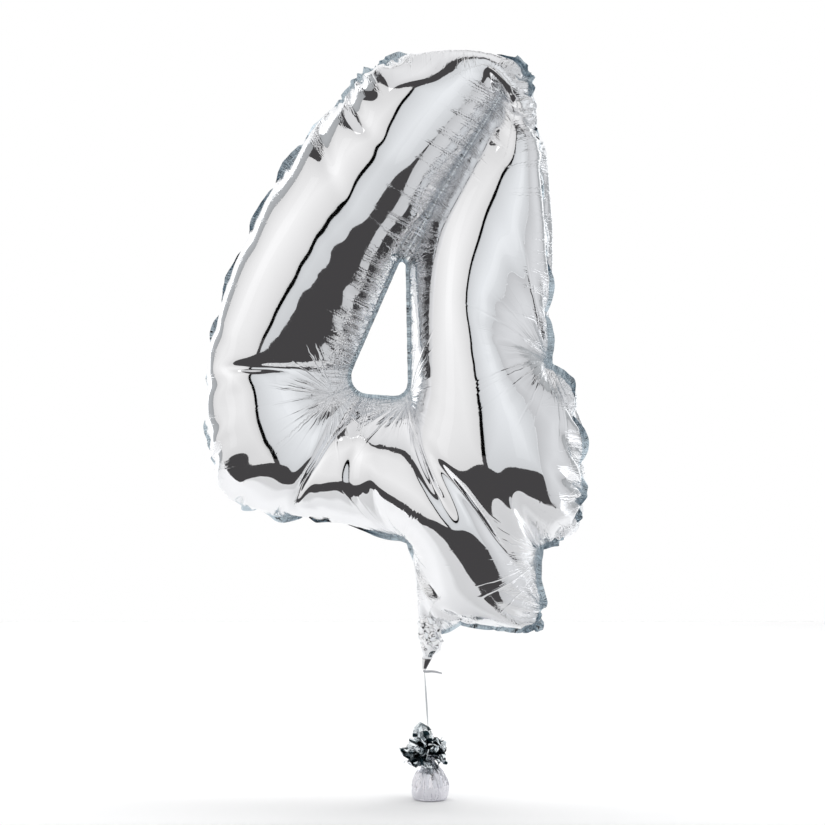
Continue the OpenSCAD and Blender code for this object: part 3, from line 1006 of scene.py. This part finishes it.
# Upright panels: azimuths of the sides, distance, heights of the edges, radiance and tint.
UPRIGHT_PANELS = (
    ("panel_left", GAP_AZIMUTH - 80, GAP_AZIMUTH - 2, 2.6, -0.25, 3.3, 1.04, WARM),
    ("panel_right", GAP_AZIMUTH + 2, 50, 3.2, -0.38, 3.3, 0.93, (0.96, 0.985, 1)),
    ("panel_side", 50, 116, 2.4, -1.6, 3.3, 0.80, COOL),
    ("panel_far_left", -126, -92, 2.6, -0.55, 3.3, 0.52, COOLER),
    ("panel_far_right", 116, 160, 2.4, -0.20, 3.3, 0.52, COOLER),
    ("strip_left", -62, -48, 2.7, 0.1, 2.6, 0.05, WHITE),
    ("strip_right", 20, 34, 3.3, 0.1, 2.6, 0.05, WHITE))


def fade_edges(data, share):
    """Makes a panel dimmer towards its edges by the given share."""
    data.use_nodes = True
    tree = data.node_tree
    place = tree.nodes.new("ShaderNodeNewGeometry")
    parts = tree.nodes.new("ShaderNodeSeparateXYZ")
    link(tree, place.outputs["Parametric"], parts.inputs["Vector"])
    off = [arithmetic(tree, "SUBTRACT", parts.outputs[k], 0.5) for k in ("X", "Y")]
    off_x, off_y = (arithmetic(tree, "ABSOLUTE", o, 0.0) for o in off)
    strength = map_range(tree, arithmetic(tree, "MAXIMUM", off_x, off_y), 1.0, 1.0 - share, 0.05, 0.5)
    link(tree, strength, tree.nodes["Emission"].inputs["Strength"])


def panel_light(name, centre, aim, size, radiance, tint=WHITE, fade=0.0):
    """Soft white panel of the given brightness that faces a point."""
    data = bpy.data.lights.new(name, "AREA")
    data.shape = "RECTANGLE"
    data.size, data.size_y = size
    data.energy = radiance * math.pi * size[0] * size[1]
    data.color = tint
    if fade:
        fade_edges(data, fade)
    o = add(name, data)
    o.location = centre
    o.rotation_euler = (Vector(aim) - o.location).to_track_quat("-Z", "Y").to_euler()
    return o


def upright_panel_light(name, start, end, distance, low, high, radiance, tint):
    """Upright panel between two azimuths as seen from the object; azimuth 0 looks along -Y, 90 along +X."""
    middle, half = math.radians((start + end) / 2), math.radians((end - start) / 2)
    z = (low + high) / 2
    centre = Vector((math.sin(middle), -math.cos(middle), 0)) * distance + Vector((0, 0, z))
    size = (2 * distance * math.tan(half), high - low)
    panel_light(name, centre, (0, 0, z), size, radiance, tint, SOFT_EDGE)


def black_card(azimuth, width, distance, low, high):
    """Upright black card that closes a gap between two panels."""
    azimuth = math.radians(azimuth)
    middle = Vector((math.sin(azimuth), -math.cos(azimuth), 0)) * distance
    across = Vector((math.cos(azimuth), math.sin(azimuth), 0)) * (width / 2)
    corners = ((-1, low), (1, low), (1, high), (-1, high))
    points = [middle + across * u + Vector((0, 0, z)) for u, z in corners]
    black = (0.004, 0.004, 0.004, 1)
    look, _, _ = material("black_card", Base_Color=black, Roughness=1.0, Specular_IOR_Level=0.0)
    mesh_object("black_card", points, [(0, 1, 2, 3)], look, smooth=False)


paper_table()
black_card(GAP_AZIMUTH, 0.5, 4.2, -0.1, 3.6)
for panel in UPRIGHT_PANELS:
    upright_panel_light(*panel)
low_right = right * 1.75 - front * 0.15
panel_light("panel_low_right", low_right - Vector((0, 0, 0.25)), low_right, (1.9, 2.1), 0.72, COOL)
panel_light("panel_top", (0, -0.35, 3.3), (0, -0.35, 0), (4.0, 3.4), 0.98, WHITE, SOFT_EDGE)
back = front * -2.6 + Vector((0, 0, 1.9))
panel_light("panel_back", back, back + front, (6.4, 5.0), 1.02)
above = front * -0.6 + Vector((0, 0, 2.8))
rear = panel_light("panel_rear", above, front * -1.4, (4.6, 0.8), 4.0)
rear.visible_glossy = False


def studio_world():
    """Dark surroundings for the reflections, plain white where they're seen directly."""
    world = bpy.data.worlds.new("studio")
    world.use_nodes = True
    tree = world.node_tree
    dark = tree.nodes["Background"]
    dark.inputs["Color"].default_value = (0.07, 0.067, 0.069, 1)
    white = tree.nodes.new("ShaderNodeBackground")
    white.inputs["Color"].default_value = (1, 1, 1, 1)
    path = tree.nodes.new("ShaderNodeLightPath")
    choice = tree.nodes.new("ShaderNodeMixShader")
    link(tree, path.outputs["Is Camera Ray"], choice.inputs["Fac"])
    link(tree, dark.outputs["Background"], choice.inputs[1])
    link(tree, white.outputs["Background"], choice.inputs[2])
    link(tree, choice.outputs["Shader"], tree.nodes["World Output"].inputs["Surface"])
    bpy.context.scene.world = world


studio_world()
